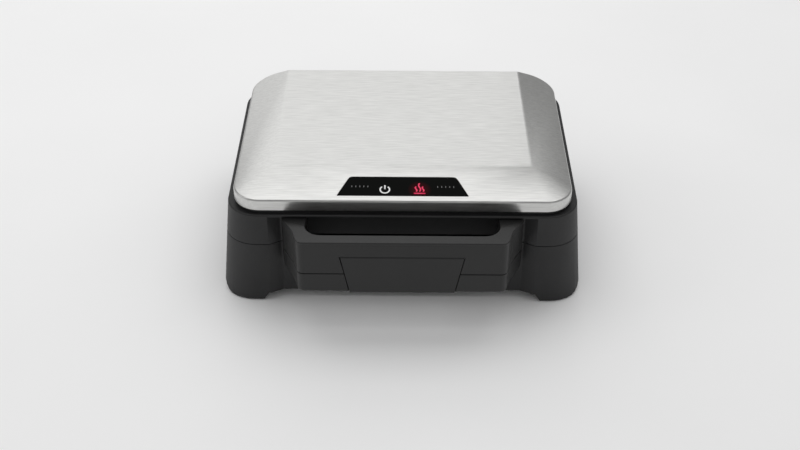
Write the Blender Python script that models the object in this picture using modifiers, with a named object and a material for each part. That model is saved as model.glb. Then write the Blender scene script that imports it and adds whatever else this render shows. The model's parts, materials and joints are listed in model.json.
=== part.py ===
"""Countertop sandwich cooker with a hinged lid, a loop handle in two halves and a latch flap.

The parting plane between lid and base is level. X is the width, the front faces -Y and Z is up.
The origin is on the table, under the middle of the whole footprint. All sizes are in metres.
"""

import math

import bmesh
import bpy
from mathutils import Matrix, Vector

# Clearances and walls
GAP = 0.0003
RUNNING_GAP = 0.0005
CUT_OVERRUN = 0.002
WALL = 0.0022
SHEET = 0.0006
STEEP_ANGLE = math.radians(60)
FLAT_ANGLE = math.radians(0.5)
SHARP_ANGLE = math.radians(35)
MERGE_DISTANCE = 0.000003

# Steel lid cover
LID_WIDTH = 0.256
LID_DEPTH = 0.184
LID_CORNER = 0.021
TOP_WIDTH = 0.196
FRONT_FACET = 0.036
SKIRT_LIFT = 0.0030
SKIRT_HEIGHT = 0.0090
FACET_RISE = 0.0085

# Moulded body
RIM_WIDTH = 0.266
BODY_CORNER = 0.024
TOWER_PROUD = 0.0026
BACK_MARGIN = 0.003
LID_SHELL_HEIGHT = 0.0272
RIM_EDGE = 0.0010
RIM_LIP = 0.0016
SEAM_Z = 0.0542
BELLY_Z = 0.0073
PAD_PROUD = 0.0010
FLARE_EACH_SIDE = 0.0081
FOOT_EDGE_RADIUS = 0.009
FOOT_SPAN_LOW = 0.2154
FOOT_SPAN_HIGH = 0.2078
FOOT_LENGTH = 0.034
RECESS = 0.0050
RECESS_CLEARANCE = 0.0012
RECESS_SPLAY = 0.0090
RECESS_FILLET = 0.003

# Hinge
HINGE_SETBACK = 0.0075
KNUCKLE_RADIUS = 0.0065
KNUCKLE_X = 0.0823
KNUCKLE_LENGTH = 0.012
EAR_LENGTH = 0.006
EAR_ROOT = 0.001
HINGE_PIN_RADIUS = 0.0020
PIN_SIDES = 24

# Loop handle
HANDLE_REACH = 0.0387
HANDLE_RISE = 0.0019
LOWER_HANDLE_HEIGHT = 0.0172
HANDLE_CORNER = 0.0055
HANDLE_EDGE = 0.002
BAR_DEPTH = 0.0096
SLOT_WIDTH = 0.144
SLOT_CORNER = 0.012
FRONT_ARM_WALL = 0.0048
SHOULDER_ARM_WALL = 0.0092
NECK_ARM_WALL = 0.0175
ROOT_ARM_WALL = 0.0193
SHOULDER_SETBACK = 0.0147
NECK_SETBACK = 0.0312
LIP_HEIGHT = 0.0020
LIP_PROUD = 0.0008
ARM_DIP = 0.0039
ARM_DIP_SETBACK = 0.0190

# Latch flap
FLAP_TOP_WIDTH = 0.0917
FLAP_BOTTOM_WIDTH = 0.0780
FLAP_THICKNESS = 0.0026
FLAP_DROP = 0.0154
FLAP_KNUCKLE_RADIUS = 0.0030
FLAP_GAP = 0.0004
LATCH_PIN_RADIUS = 0.0011
LATCH_PIN_SEAT = 0.0036

# Control panel and its board
PANEL_TOP_WIDTH = 0.0806
PANEL_BOTTOM_WIDTH = 0.0990
PANEL_FRONT = 0.0050
PANEL_BACK = 0.0242
PANEL_TOP_CORNER = 0.0030
PANEL_BOTTOM_CORNER = 0.0006
PANEL_PROUD = 0.0002
PANEL_THICKNESS = 0.0020
PANEL_FLANGE = 0.0020
PANEL_FLANGE_THICKNESS = 0.0013
BOSS_DROP = 0.0030
BOARD_WIDTH = 0.070
BOARD_FRONT = 0.0060
BOARD_BACK = 0.0220
BOARD_THICKNESS = 0.0012
LED_RADIUS = 0.0020
LED_HEIGHT = 0.0015
LED_Y = 0.0140
POWER_LED_X = -0.0134
HEAT_LED_X = 0.0126

# Cooking plates
POCKET_WIDTH = 0.108
POCKET_DEPTH = 0.112
POCKET_SINK = 0.010
POCKET_DRAFT = 0.004
POCKET_SPACING = 0.006
PLATE_BORDER = 0.004
PLATE_FLOOR = 0.003
PLATE_HALF_GAP = 0.0004
FLANGE_WIDTH = 0.008
FLANGE_THICKNESS = 0.003
PLATE_CLEARANCE = 0.0005
RIDGE_WIDTH = 0.009
RIDGE_HEIGHT = 0.006
DECK_THICKNESS = 0.0023
ELEMENT_RADIUS = 0.0032
ELEMENT_LENGTH = 0.190
ELEMENT_SPREAD = 0.064
ELEMENT_BEND_STEPS = 10
REFLECTOR_INSET = 0.004

# Screws
SCREW_RADIUS = 0.0013
SCREW_HEAD_RADIUS = 0.0028
SCREW_HEAD_HEIGHT = 0.0020
SCREW_BITE = 0.0021
SCREW_INSET = 0.0040
HANDLE_SCREW_INSET = 0.0098
HANDLE_SCREW_RISE = 0.012
HANDLE_SCREW_BITE = 0.008
SCREW_SIDES = 12

# Under the base
FLOOR_WIDTH = 0.198
FLOOR_DEPTH = 0.150
FLOOR_THICKNESS = 0.0015
FLOOR_LEDGE = 0.008
FLOOR_CORNER = 0.004
FLOOR_BOSS_RADIUS = 0.0035
FLOOR_BOSS_HEIGHT = 0.006
FLOOR_SCREW_BITE = 0.0055
VENT_WIDTH = 0.003
VENT_LENGTH = 0.040
VENT_PITCH = 0.009
VENT_COUNT = 7
PAD_RADIUS = 0.0065
PAD_SEAT = 0.0020
PAD_X = 0.118
PAD_SETBACK = 0.0166

# Electrical pieces in the base
THERMOSTAT_RADIUS = 0.008
THERMOSTAT_HEIGHT = 0.009
FUSE_RADIUS = 0.0025
FUSE_LENGTH = 0.014
FUSE_OFFSET = 0.022
TERMINAL_WIDTH = 0.030
TERMINAL_DEPTH = 0.014
TERMINAL_HEIGHT = 0.014
TERMINAL_X = -0.020
TERMINAL_SETBACK = 0.009
GLAND_X = -0.060
GLAND_Z = 0.028
GLAND_FLANGE_RADIUS = 0.008
GLAND_FLANGE_THICKNESS = 0.002
GLAND_RADIUS = 0.0058
GLAND_BORE = 0.0042
GLAND_DEPTH = 0.006

# Places that follow from the sizes above
OVERALL_DEPTH = HANDLE_REACH + LID_DEPTH + BACK_MARGIN + HINGE_SETBACK + KNUCKLE_RADIUS
HANDLE_Y = -OVERALL_DEPTH / 2
HANDLE_FACE_Y = HANDLE_Y + LIP_PROUD
FRONT_Y = HANDLE_Y + HANDLE_REACH
REAR_Y = FRONT_Y + LID_DEPTH
MIDDLE_Y = FRONT_Y + LID_DEPTH / 2
BODY_FRONT_Y = FRONT_Y - TOWER_PROUD
BODY_REAR_Y = REAR_Y + BACK_MARGIN
RECESS_Y = BODY_FRONT_Y + RECESS
HINGE_Y = BODY_REAR_Y + HINGE_SETBACK
LATCH_Y = HANDLE_FACE_Y + FLAP_KNUCKLE_RADIUS
RIM_Z = SEAM_Z + LID_SHELL_HEIGHT
SKIRT_Z = RIM_Z + SKIRT_LIFT
EDGE_Z = SKIRT_Z + SKIRT_HEIGHT
TOP_Z = EDGE_Z + FACET_RISE
BOSS_Z = EDGE_Z - BOSS_DROP
HANDLE_TOP_Z = RIM_Z + HANDLE_RISE
HANDLE_BOTTOM_Z = SEAM_Z - LOWER_HANDLE_HEIGHT
FLAP_AXIS_Z = HANDLE_TOP_Z - FLAP_DROP
HANDLE_ROOT_WIDTH = SLOT_WIDTH + 2 * ROOT_ARM_WALL
HANDLE_SCREW_X = SLOT_WIDTH / 2 + HANDLE_SCREW_INSET
RECESS_SPAN_BACK = HANDLE_ROOT_WIDTH + 2 * RECESS_CLEARANCE
RECESS_SPAN_FRONT = RECESS_SPAN_BACK + 2 * RECESS_SPLAY
LATCH_PIN_LENGTH = FLAP_TOP_WIDTH + 2 * LATCH_PIN_SEAT
PLATE_WIDTH = 2 * POCKET_WIDTH + POCKET_SPACING + 2 * PLATE_BORDER
PLATE_DEPTH = POCKET_DEPTH + 2 * PLATE_BORDER
PLATE_UNDERSIDE = PLATE_HALF_GAP + POCKET_SINK + PLATE_FLOOR
FLANGE_UNDERSIDE = PLATE_HALF_GAP + FLANGE_THICKNESS
DECK_FACE = FLANGE_UNDERSIDE + GAP
DECK_BACK = DECK_FACE + DECK_THICKNESS
ELEMENT_LEVEL = PLATE_UNDERSIDE + GAP + ELEMENT_RADIUS
REFLECTOR_LEVEL = ELEMENT_LEVEL + ELEMENT_RADIUS + GAP
FACET_SLOPE = FACET_RISE / FRONT_FACET

for old in list(bpy.data.objects):
    bpy.data.objects.remove(old, do_unlink=True)

parts = bpy.data.collections.new("sandwich_maker")
cutters = bpy.data.collections.new("cutters")
bpy.context.scene.collection.children.link(parts)
bpy.context.scene.collection.children.link(cutters)


def material(name, colour, roughness, metallic=0.0):
    """A plain surface with the piece's colour (linear RGB), roughness and metallic value."""
    made = bpy.data.materials.new(name)
    made.use_nodes = True
    shader = made.node_tree.nodes["Principled BSDF"]
    shader.inputs["Base Color"].default_value = (*colour, 1.0)
    shader.inputs["Roughness"].default_value = roughness
    shader.inputs["Metallic"].default_value = metallic
    return made


BRUSHED_STEEL = material("brushed_steel", (0.66, 0.66, 0.65), 0.32, 1.0)
BLACK_BODY = material("black_moulding", (0.022, 0.022, 0.023), 0.5)
BLACK_HANDLE = material("handle_moulding", (0.027, 0.027, 0.027), 0.45)
PANEL_GLOSS = material("panel_lens", (0.004, 0.004, 0.004), 0.08)
PLATE_COATING = material("non_stick_coating", (0.03, 0.03, 0.032), 0.4, 0.3)
PLAIN_STEEL = material("zinc_plated_steel", (0.55, 0.56, 0.57), 0.35, 1.0)
REFLECTOR_TIN = material("reflector_sheet", (0.75, 0.75, 0.74), 0.3, 1.0)
ELEMENT_SHEATH = material("element_sheath", (0.25, 0.23, 0.21), 0.5, 1.0)
PAD_RUBBER = material("pad_rubber", (0.03, 0.03, 0.03), 0.85)
CERAMIC = material("terminal_ceramic", (0.8, 0.78, 0.72), 0.5)
BOARD_GREEN = material("board_laminate", (0.02, 0.12, 0.05), 0.45)
LED_CLEAR = material("led_clear", (0.85, 0.85, 0.85), 0.2)
LED_RED = material("led_red", (0.6, 0.02, 0.03), 0.2)


def level(side, offset):
    """The height that lies offset above (side 1) or below (side -1) the parting plane."""
    return SEAM_Z + side * offset


def body_flare(z):
    """How much wider than at the rim the body is at height z."""
    share_down = (RIM_Z - z) / RIM_Z
    return 1 + share_down * FLARE_EACH_SIDE / (RIM_WIDTH / 2)


def filleted(corners, steps=6):
    """A closed outline from corners (u, v, radius), with an arc at each corner that has a radius."""
    outline = []
    for index, (u, v, radius) in enumerate(corners):
        corner = Vector((u, v))
        if not radius:
            outline.append(corner)
            continue
        back = (Vector(corners[index - 1][:2]) - corner).normalized()
        ahead = (Vector(corners[(index + 1) % len(corners)][:2]) - corner).normalized()
        half = back.angle(ahead) / 2
        centre = corner + (back + ahead).normalized() * (radius / math.sin(half))
        spoke = corner + back * (radius / math.tan(half)) - centre
        turn = math.copysign(math.pi - 2 * half, ahead.cross(back))
        for step in range(steps + 1):
            outline.append(centre + Matrix.Rotation(turn * step / steps, 2) @ spoke)
    return outline


def rectangle(width, front, back, radius=0.0, steps=6):
    """The outline of a rectangle across X from y front to y back, with rounded corners."""
    half = width / 2
    corners = [(-half, front, radius), (half, front, radius), (half, back, radius), (-half, back, radius)]
    return filleted(corners, steps)


def mesh_from(bm, name):
    mesh = bpy.data.meshes.new(name)
    bm.to_mesh(mesh)
    bm.free()
    return mesh


def box(low, high):
    bm = bmesh.new()
    low, high = Vector(low), Vector(high)
    size = Matrix.Diagonal((*(high - low), 1.0))
    bmesh.ops.create_cube(bm, size=1.0, matrix=Matrix.Translation((low + high) / 2) @ size)
    return mesh_from(bm, "box")


def rod(start, end, radius, sides=PIN_SIDES):
    """A cylinder from start to end."""
    bm = bmesh.new()
    start, end = Vector(start), Vector(end)
    turn = (end - start).to_track_quat("Z", "Y").to_matrix().to_4x4()
    place = Matrix.Translation((start + end) / 2) @ turn
    bmesh.ops.create_cone(
        bm, cap_ends=True, segments=sides, radius1=radius, radius2=radius,
        depth=(end - start).length, matrix=place,
    )
    return mesh_from(bm, "rod")


def screw_hole(start, end):
    """The cutter for a screw's clearance hole."""
    return rod(start, end, SCREW_RADIUS + GAP, SCREW_SIDES)


ACROSS = {
    "X": Matrix(((0, 0, 1, 0), (1, 0, 0, 0), (0, 1, 0, 0), (0, 0, 0, 1))),
    "Y": Matrix(((1, 0, 0, 0), (0, 0, -1, 0), (0, 1, 0, 0), (0, 0, 0, 1))),
    "Z": Matrix.Identity(4),
}


def prism(outline, low, high, across="Z"):
    """A flat outline given a thickness from low to high along an axis.

    The outline lies in XY across Z, in XZ across Y and in YZ across X.
    """
    curve = bpy.data.curves.new("outline", "CURVE")
    curve.dimensions = "2D"
    curve.fill_mode = "BOTH"
    curve.extrude = (high - low) / 2
    spline = curve.splines.new("POLY")
    spline.points.add(len(outline) - 1)
    for point, (u, v) in zip(spline.points, outline):
        point.co = (u, v, 0, 1)
    spline.use_cyclic_u = True
    holder = bpy.data.objects.new("outline", curve)
    cutters.objects.link(holder)
    graph = bpy.context.evaluated_depsgraph_get()
    mesh = bpy.data.meshes.new_from_object(holder.evaluated_get(graph))
    bpy.data.objects.remove(holder, do_unlink=True)
    middle = (low + high) / 2
    bm = bmesh.new()
    bm.from_mesh(mesh)
    bmesh.ops.remove_doubles(bm, verts=bm.verts, dist=MERGE_DISTANCE)
    lift = -middle if across == "Y" else middle
    bmesh.ops.transform(bm, matrix=ACROSS[across] @ Matrix.Translation((0, 0, lift)), verts=bm.verts)
    bmesh.ops.recalc_face_normals(bm, faces=bm.faces)
    bm.to_mesh(mesh)
    bm.free()
    return mesh


def flared(mesh):
    """The mesh widened downwards as the body is."""
    for vertex in mesh.vertices:
        vertex.co.x *= body_flare(vertex.co.z)
    return mesh


def between_planes(mesh, low_point, high_point, normal):
    """The slice of a closed mesh between two parallel planes."""
    bm = bmesh.new()
    bm.from_mesh(mesh)
    for point, outward in ((high_point, normal), (low_point, -normal)):
        everything = bm.verts[:] + bm.edges[:] + bm.faces[:]
        cut = bmesh.ops.bisect_plane(
            bm, geom=everything, plane_co=point, plane_no=outward, clear_outer=True
        )
        rim = [item for item in cut["geom_cut"] if isinstance(item, bmesh.types.BMEdge)]
        bmesh.ops.edgeloop_fill(bm, edges=rim)
    bmesh.ops.recalc_face_normals(bm, faces=bm.faces)
    bm.to_mesh(mesh)
    bm.free()
    return mesh


def bevel_outer_edge(mesh, z, width, front_of=None):
    """Rounds the edge of a prism's end face at height z, or only the part of it in front of a y."""
    bm = bmesh.new()
    bm.from_mesh(mesh)
    chosen = []
    for edge in bm.edges:
        at_end = all(abs(vertex.co.z - z) < GAP for vertex in edge.verts)
        upright = any(abs(face.normal.z) < math.cos(STEEP_ANGLE) for face in edge.link_faces)
        ahead = front_of is None or any(vertex.co.y < front_of for vertex in edge.verts)
        if at_end and upright and ahead:
            chosen.append(edge)
    bmesh.ops.bevel(bm, geom=chosen, offset=width, segments=2, profile=0.5, affect="EDGES", material=-1)
    bm.to_mesh(mesh)
    bm.free()


def group(meshes):
    """Several separate shapes in one mesh."""
    bm = bmesh.new()
    for mesh in meshes:
        bm.from_mesh(mesh)
    return mesh_from(bm, "group")


def piece(name, mesh, surface, axis=None):
    """One sub-part, on the empty of its joint if it moves."""
    made = bpy.data.objects.new(name, mesh)
    mesh.name = name
    parts.objects.link(made)
    mesh.materials.append(surface)
    if axis:
        made.parent = axis
        made.matrix_parent_inverse = Matrix.Translation(-axis.location)
    return made


def helper(name, mesh):
    made = bpy.data.objects.new(name, mesh)
    made.hide_render = True
    made.display_type = "WIRE"
    cutters.objects.link(made)
    return made


def combine(target, operation, name, mesh):
    """Cuts, joins or limits a sub-part with a helper shape."""
    step = target.modifiers.new(name, "BOOLEAN")
    step.operation = operation
    step.object = helper(f"{target.name}_{name}", mesh)


def smooth(target):
    target.data.shade_smooth()
    target.data.set_sharp_from_angle(angle=SHARP_ANGLE)


def joint_empty(name, place):
    made = bpy.data.objects.new(name, None)
    made.location = place
    parts.objects.link(made)
    return made


def mirrored_x(x):
    return ((-x, "left"), (x, "right"))


def body_block(low, high):
    """The outer block of the moulded body between two heights, wider towards the bottom."""
    outline = rectangle(RIM_WIDTH, BODY_FRONT_Y, BODY_REAR_Y, BODY_CORNER, steps=8)
    return flared(prism(outline, low, high))


def front_recess(low, high):
    """The shallow recess between the two front towers."""
    half_front, half_back = RECESS_SPAN_FRONT / 2, RECESS_SPAN_BACK / 2
    spread = (half_front - half_back) / RECESS * CUT_OVERRUN
    corners = [
        (-half_front - spread, BODY_FRONT_Y - CUT_OVERRUN, 0),
        (half_front + spread, BODY_FRONT_Y - CUT_OVERRUN, 0),
        (half_back, RECESS_Y, RECESS_FILLET),
        (-half_back, RECESS_Y, RECESS_FILLET),
    ]
    return prism(filleted(corners, steps=4), low, high)


def body_cavity(low, high):
    width, radius = RIM_WIDTH - 2 * WALL, BODY_CORNER - WALL
    outline = rectangle(width, RECESS_Y + WALL, BODY_REAR_Y - WALL, radius)
    return flared(prism(outline, low, high))


def knuckle_outline(side):
    """A round knuckle on the hinge axis with a web to the rear wall, on one side of the seam."""
    outline = [(BODY_REAR_Y - EAR_ROOT, level(side, KNUCKLE_RADIUS))]
    for step in range(PIN_SIDES + 1):
        angle = side * math.pi * (0.5 - 1.5 * step / PIN_SIDES)
        outline.append((
            HINGE_Y + KNUCKLE_RADIUS * math.cos(angle),
            SEAM_Z + KNUCKLE_RADIUS * math.sin(angle),
        ))
    outline.append((HINGE_Y - KNUCKLE_RADIUS, level(side, RUNNING_GAP)))
    outline.append((BODY_REAR_Y - EAR_ROOT, level(side, RUNNING_GAP)))
    return outline


def hinge_bore():
    reach = KNUCKLE_X + KNUCKLE_LENGTH + EAR_LENGTH
    return rod((-reach, HINGE_Y, SEAM_Z), (reach, HINGE_Y, SEAM_Z), HINGE_PIN_RADIUS + GAP)


def plate_block(clearance, low, high):
    half_x, half_y = PLATE_WIDTH / 2 + clearance, PLATE_DEPTH / 2 + clearance
    return box((-half_x, MIDDLE_Y - half_y, low), (half_x, MIDDLE_Y + half_y, high))


def plate_screw_places():
    half_x = PLATE_WIDTH / 2 + FLANGE_WIDTH - SCREW_INSET
    half_y = PLATE_DEPTH / 2 + FLANGE_WIDTH - SCREW_INSET
    return [(x, MIDDLE_Y + y) for y in (-half_y, half_y) for x in (-half_x, half_x)]


def floor_screw_places():
    half_x = FLOOR_WIDTH / 2 - SCREW_INSET
    half_y = FLOOR_DEPTH / 2 - SCREW_INSET
    return [(x, MIDDLE_Y + y) for y in (-half_y, half_y) for x in (-half_x, half_x)]


def pad_places():
    front, back = BODY_FRONT_Y + PAD_SETBACK, BODY_REAR_Y - PAD_SETBACK
    return [(x, y) for y in (front, back) for x in (-PAD_X, PAD_X)]


def stacked(low, high):
    """Two heights in rising order."""
    return (low, high) if low < high else (high, low)


def seat_for_plate(housing, side):
    """Cuts the rebate, the opening and the screw holes for a cooking plate."""
    beyond = level(side, -CUT_OVERRUN)
    flange = FLANGE_WIDTH + PLATE_CLEARANCE
    rebate = plate_block(flange, *stacked(level(side, DECK_FACE), beyond))
    combine(housing, "DIFFERENCE", "plate_rebate", rebate)
    opening = plate_block(PLATE_CLEARANCE, *stacked(level(side, DECK_BACK + CUT_OVERRUN), beyond))
    combine(housing, "DIFFERENCE", "plate_opening", opening)
    near, far = level(side, DECK_FACE - CUT_OVERRUN), level(side, DECK_BACK + CUT_OVERRUN)
    holes = [screw_hole((x, y, near), (x, y, far)) for x, y in plate_screw_places()]
    combine(housing, "DIFFERENCE", "plate_screw_holes", group(holes))


def handle_screw_holes(housing, side):
    z = level(side, HANDLE_SCREW_RISE)
    front, back = RECESS_Y - CUT_OVERRUN, RECESS_Y + WALL + CUT_OVERRUN
    holes = [screw_hole((x, front, z), (x, back, z)) for x, _ in mirrored_x(HANDLE_SCREW_X)]
    combine(housing, "DIFFERENCE", "handle_screw_holes", group(holes))


def make_base_housing():
    """Lower moulding with both towers, four feet and the fixed hinge ears."""
    top = level(-1, GAP / 2)
    housing = piece("base_housing", body_block(PAD_PROUD, top), BLACK_BODY)
    half = body_flare(PAD_PROUD) * RIM_WIDTH / 2
    above = SEAM_Z + CUT_OVERRUN
    elevation = filleted([
        (-half, PAD_PROUD, FOOT_EDGE_RADIUS), (-FOOT_SPAN_LOW / 2, PAD_PROUD, 0),
        (-FOOT_SPAN_HIGH / 2, BELLY_Z, 0), (FOOT_SPAN_HIGH / 2, BELLY_Z, 0),
        (FOOT_SPAN_LOW / 2, PAD_PROUD, 0), (half, PAD_PROUD, FOOT_EDGE_RADIUS),
        (half, above, 0), (-half, above, 0),
    ])
    depth = (BODY_FRONT_Y - CUT_OVERRUN, BODY_REAR_Y + CUT_OVERRUN)
    combine(housing, "INTERSECT", "front_view", prism(elevation, *depth, across="Y"))
    arch = box(
        (-half - CUT_OVERRUN, BODY_FRONT_Y + FOOT_LENGTH, 0),
        (half + CUT_OVERRUN, BODY_REAR_Y - FOOT_LENGTH, BELLY_Z),
    )
    combine(housing, "DIFFERENCE", "side_arch", arch)
    combine(housing, "DIFFERENCE", "front_recess", front_recess(0, above))
    combine(housing, "DIFFERENCE", "cavity", body_cavity(BELLY_Z + WALL, level(-1, DECK_BACK)))
    seat_for_plate(housing, -1)
    ledge_x, ledge_y = FLOOR_WIDTH / 2 - FLOOR_LEDGE, FLOOR_DEPTH / 2 - FLOOR_LEDGE
    hatch = box(
        (-ledge_x, MIDDLE_Y - ledge_y, BELLY_Z - CUT_OVERRUN),
        (ledge_x, MIDDLE_Y + ledge_y, BELLY_Z + WALL + CUT_OVERRUN),
    )
    combine(housing, "DIFFERENCE", "floor_hatch", hatch)
    boss_low, boss_high = BELLY_Z + WALL / 2, BELLY_Z + WALL + FLOOR_BOSS_HEIGHT
    bosses = [
        rod((x, y, boss_low), (x, y, boss_high), FLOOR_BOSS_RADIUS)
        for x, y in floor_screw_places()
    ]
    combine(housing, "UNION", "floor_bosses", group(bosses))
    low, high = BELLY_Z - CUT_OVERRUN, BELLY_Z + WALL + FLOOR_SCREW_BITE
    bores = [screw_hole((x, y, low), (x, y, high)) for x, y in floor_screw_places()]
    combine(housing, "DIFFERENCE", "floor_screw_bores", group(bores))
    seats = [rod((x, y, 0), (x, y, PAD_PROUD + PAD_SEAT), PAD_RADIUS + GAP) for x, y in pad_places()]
    combine(housing, "DIFFERENCE", "pad_seats", group(seats))
    handle_screw_holes(housing, -1)
    gland_hole = rod(
        (GLAND_X, BODY_REAR_Y - WALL - CUT_OVERRUN, GLAND_Z),
        (GLAND_X, BODY_REAR_Y + CUT_OVERRUN, GLAND_Z), GLAND_RADIUS + GAP,
    )
    combine(housing, "DIFFERENCE", "gland_hole", gland_hole)
    offset = KNUCKLE_LENGTH / 2 + RUNNING_GAP
    ears = []
    for x, _ in mirrored_x(KNUCKLE_X):
        ears.append(prism(knuckle_outline(-1), x - offset - EAR_LENGTH, x - offset, across="X"))
        ears.append(prism(knuckle_outline(-1), x + offset, x + offset + EAR_LENGTH, across="X"))
    combine(housing, "UNION", "hinge_ears", group(ears))
    combine(housing, "DIFFERENCE", "hinge_bore", hinge_bore())


def make_lid_housing(axis):
    """Upper moulding under the steel cover, with the moving hinge knuckles."""
    low = level(1, GAP / 2)
    block = body_block(low, RIM_Z)
    bevel_outer_edge(block, RIM_Z, RIM_EDGE)
    housing = piece("lid_housing", block, BLACK_BODY, axis)
    combine(housing, "DIFFERENCE", "front_recess", front_recess(low - CUT_OVERRUN, RIM_Z - RIM_LIP))
    inset = SHEET + GAP
    boss_outline = rectangle(LID_WIDTH - 2 * inset, FRONT_Y + inset, REAR_Y - inset, LID_CORNER - inset)
    combine(housing, "UNION", "boss", prism(boss_outline, RIM_Z - RIM_LIP / 2, BOSS_Z))
    combine(housing, "DIFFERENCE", "cavity", body_cavity(level(1, DECK_BACK), RIM_Z - WALL))
    inner = inset + WALL
    upper_outline = rectangle(
        LID_WIDTH - 2 * inner, RECESS_Y + WALL, REAR_Y - inner, LID_CORNER - inner
    )
    combine(housing, "DIFFERENCE", "upper_cavity", prism(upper_outline, RIM_Z - 2 * WALL, BOSS_Z - WALL))
    seat_for_plate(housing, 1)
    handle_screw_holes(housing, 1)
    knuckles = [
        prism(knuckle_outline(1), x - KNUCKLE_LENGTH / 2, x + KNUCKLE_LENGTH / 2, across="X")
        for x, _ in mirrored_x(KNUCKLE_X)
    ]
    combine(housing, "UNION", "hinge_knuckles", group(knuckles))
    combine(housing, "DIFFERENCE", "hinge_bore", hinge_bore())


def panel_outline(grow):
    half_top, half_bottom = PANEL_TOP_WIDTH / 2 + grow, PANEL_BOTTOM_WIDTH / 2 + grow
    front, back = FRONT_Y + PANEL_FRONT - grow, FRONT_Y + PANEL_BACK + grow
    low, high = PANEL_BOTTOM_CORNER + grow, PANEL_TOP_CORNER + grow
    return filleted([
        (-half_bottom, front, low), (half_bottom, front, low),
        (half_top, back, high), (-half_top, back, high),
    ], steps=4)


def make_lid_cover(axis):
    """Steel pressing: the hull of its skirt, its edge and its flat top, left open below."""
    outline = rectangle(LID_WIDTH, FRONT_Y, REAR_Y, LID_CORNER, steps=8)
    side_slope = (TOP_Z - EDGE_Z) / ((LID_WIDTH - TOP_WIDTH) / 2)
    bm = bmesh.new()
    for x, y in outline:
        bm.verts.new((x, y, SKIRT_Z))
        past_crease = max(abs(x) - TOP_WIDTH / 2, 0)
        edge = TOP_Z - side_slope * past_crease if y > MIDDLE_Y else EDGE_Z
        bm.verts.new((x, y, edge))
    for x, _ in mirrored_x(TOP_WIDTH / 2):
        bm.verts.new((x, FRONT_Y + FRONT_FACET, TOP_Z))
        bm.verts.new((x, REAR_Y, TOP_Z))
    bmesh.ops.convex_hull(bm, input=bm.verts)
    under = [face for face in bm.faces if face.normal.z < -math.cos(STEEP_ANGLE)]
    bmesh.ops.delete(bm, geom=under, context="FACES")
    bmesh.ops.dissolve_limit(bm, angle_limit=FLAT_ANGLE, verts=bm.verts, edges=bm.edges)
    cover = piece("lid_cover", mesh_from(bm, "lid_cover"), BRUSHED_STEEL, axis)
    sheet = cover.modifiers.new("sheet", "SOLIDIFY")
    sheet.thickness = SHEET
    sheet.offset = -1
    sheet.use_even_offset = True
    combine(cover, "DIFFERENCE", "panel_window", prism(panel_outline(0), EDGE_Z - SHEET, TOP_Z))


def make_panel(axis):
    """Gloss lens in the facet's window, with a flange under the sheet, over its board and lights."""
    normal = Vector((0, -FACET_SLOPE, 1)).normalized()
    origin = Vector((0, FRONT_Y, EDGE_Z))

    def slice_of(grow, low, high):
        tall = prism(panel_outline(grow), EDGE_Z - PANEL_BACK, TOP_Z + PANEL_BACK)
        return between_planes(tall, origin + normal * low, origin + normal * high, normal)

    under = -SHEET - GAP
    face = slice_of(-GAP, under - PANEL_THICKNESS / 2, PANEL_PROUD)
    lens = piece("control_panel", face, PANEL_GLOSS, axis)
    flange = slice_of(PANEL_FLANGE, under - PANEL_FLANGE_THICKNESS, under)
    combine(lens, "UNION", "flange", flange)
    board_z = BOSS_Z + GAP
    board = box(
        (-BOARD_WIDTH / 2, FRONT_Y + BOARD_FRONT, board_z),
        (BOARD_WIDTH / 2, FRONT_Y + BOARD_BACK, board_z + BOARD_THICKNESS),
    )
    piece("indicator_board", board, BOARD_GREEN, axis)
    led_z = board_z + BOARD_THICKNESS + GAP
    for name, x, surface in (("power_led", POWER_LED_X, LED_CLEAR), ("heat_led", HEAT_LED_X, LED_RED)):
        y = FRONT_Y + LED_Y
        smooth(piece(name, rod((x, y, led_z), (x, y, led_z + LED_HEIGHT), LED_RADIUS), surface, axis))


def handle_outline(reach):
    """Plan of the loop handle: a bar across the front and two arms that splay back to the body."""
    root, half_slot = RECESS_Y - GAP, SLOT_WIDTH / 2
    outer = [
        (half_slot + ROOT_ARM_WALL, root, 0),
        (half_slot + NECK_ARM_WALL, HANDLE_Y + NECK_SETBACK, 0),
        (half_slot + SHOULDER_ARM_WALL, HANDLE_Y + SHOULDER_SETBACK, 0),
        (half_slot + FRONT_ARM_WALL, reach, HANDLE_CORNER),
    ]
    inner = [(half_slot, HANDLE_Y + BAR_DEPTH, SLOT_CORNER), (half_slot, root, 0)]
    left = [(-x, y, radius) for x, y, radius in outer]
    right = outer[::-1]
    return filleted(left + right + inner[::-1] + [(-x, y, radius) for x, y, radius in inner])


def flap_half_width(z):
    """Half the width of the latch flap at height z."""
    height = FLAP_AXIS_Z + FLAP_KNUCKLE_RADIUS - HANDLE_BOTTOM_Z
    share = (z - HANDLE_BOTTOM_Z) / height
    return (FLAP_BOTTOM_WIDTH + (FLAP_TOP_WIDTH - FLAP_BOTTOM_WIDTH) * share) / 2


def flap_shape(grow, front, low):
    """The flap as a flat plate with a round knuckle along its top, narrower towards the bottom."""
    radius = FLAP_KNUCKLE_RADIUS + grow
    back = HANDLE_FACE_Y + FLAP_THICKNESS + grow
    last = math.acos((back - LATCH_Y) / radius)
    outline = [(front, low), (front, FLAP_AXIS_Z)]
    if front < LATCH_Y - radius:
        outline.append((LATCH_Y - radius, FLAP_AXIS_Z))
    for step in range(1, PIN_SIDES + 1):
        angle = math.pi - (math.pi + last) * step / PIN_SIDES
        outline.append((LATCH_Y + radius * math.cos(angle), FLAP_AXIS_Z + radius * math.sin(angle)))
    outline.append((back, low))
    mesh = prism(outline, -FLAP_TOP_WIDTH, FLAP_TOP_WIDTH, across="X")
    for vertex in mesh.vertices:
        vertex.co.x = math.copysign(flap_half_width(vertex.co.z) + grow, vertex.co.x)
    return mesh


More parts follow.
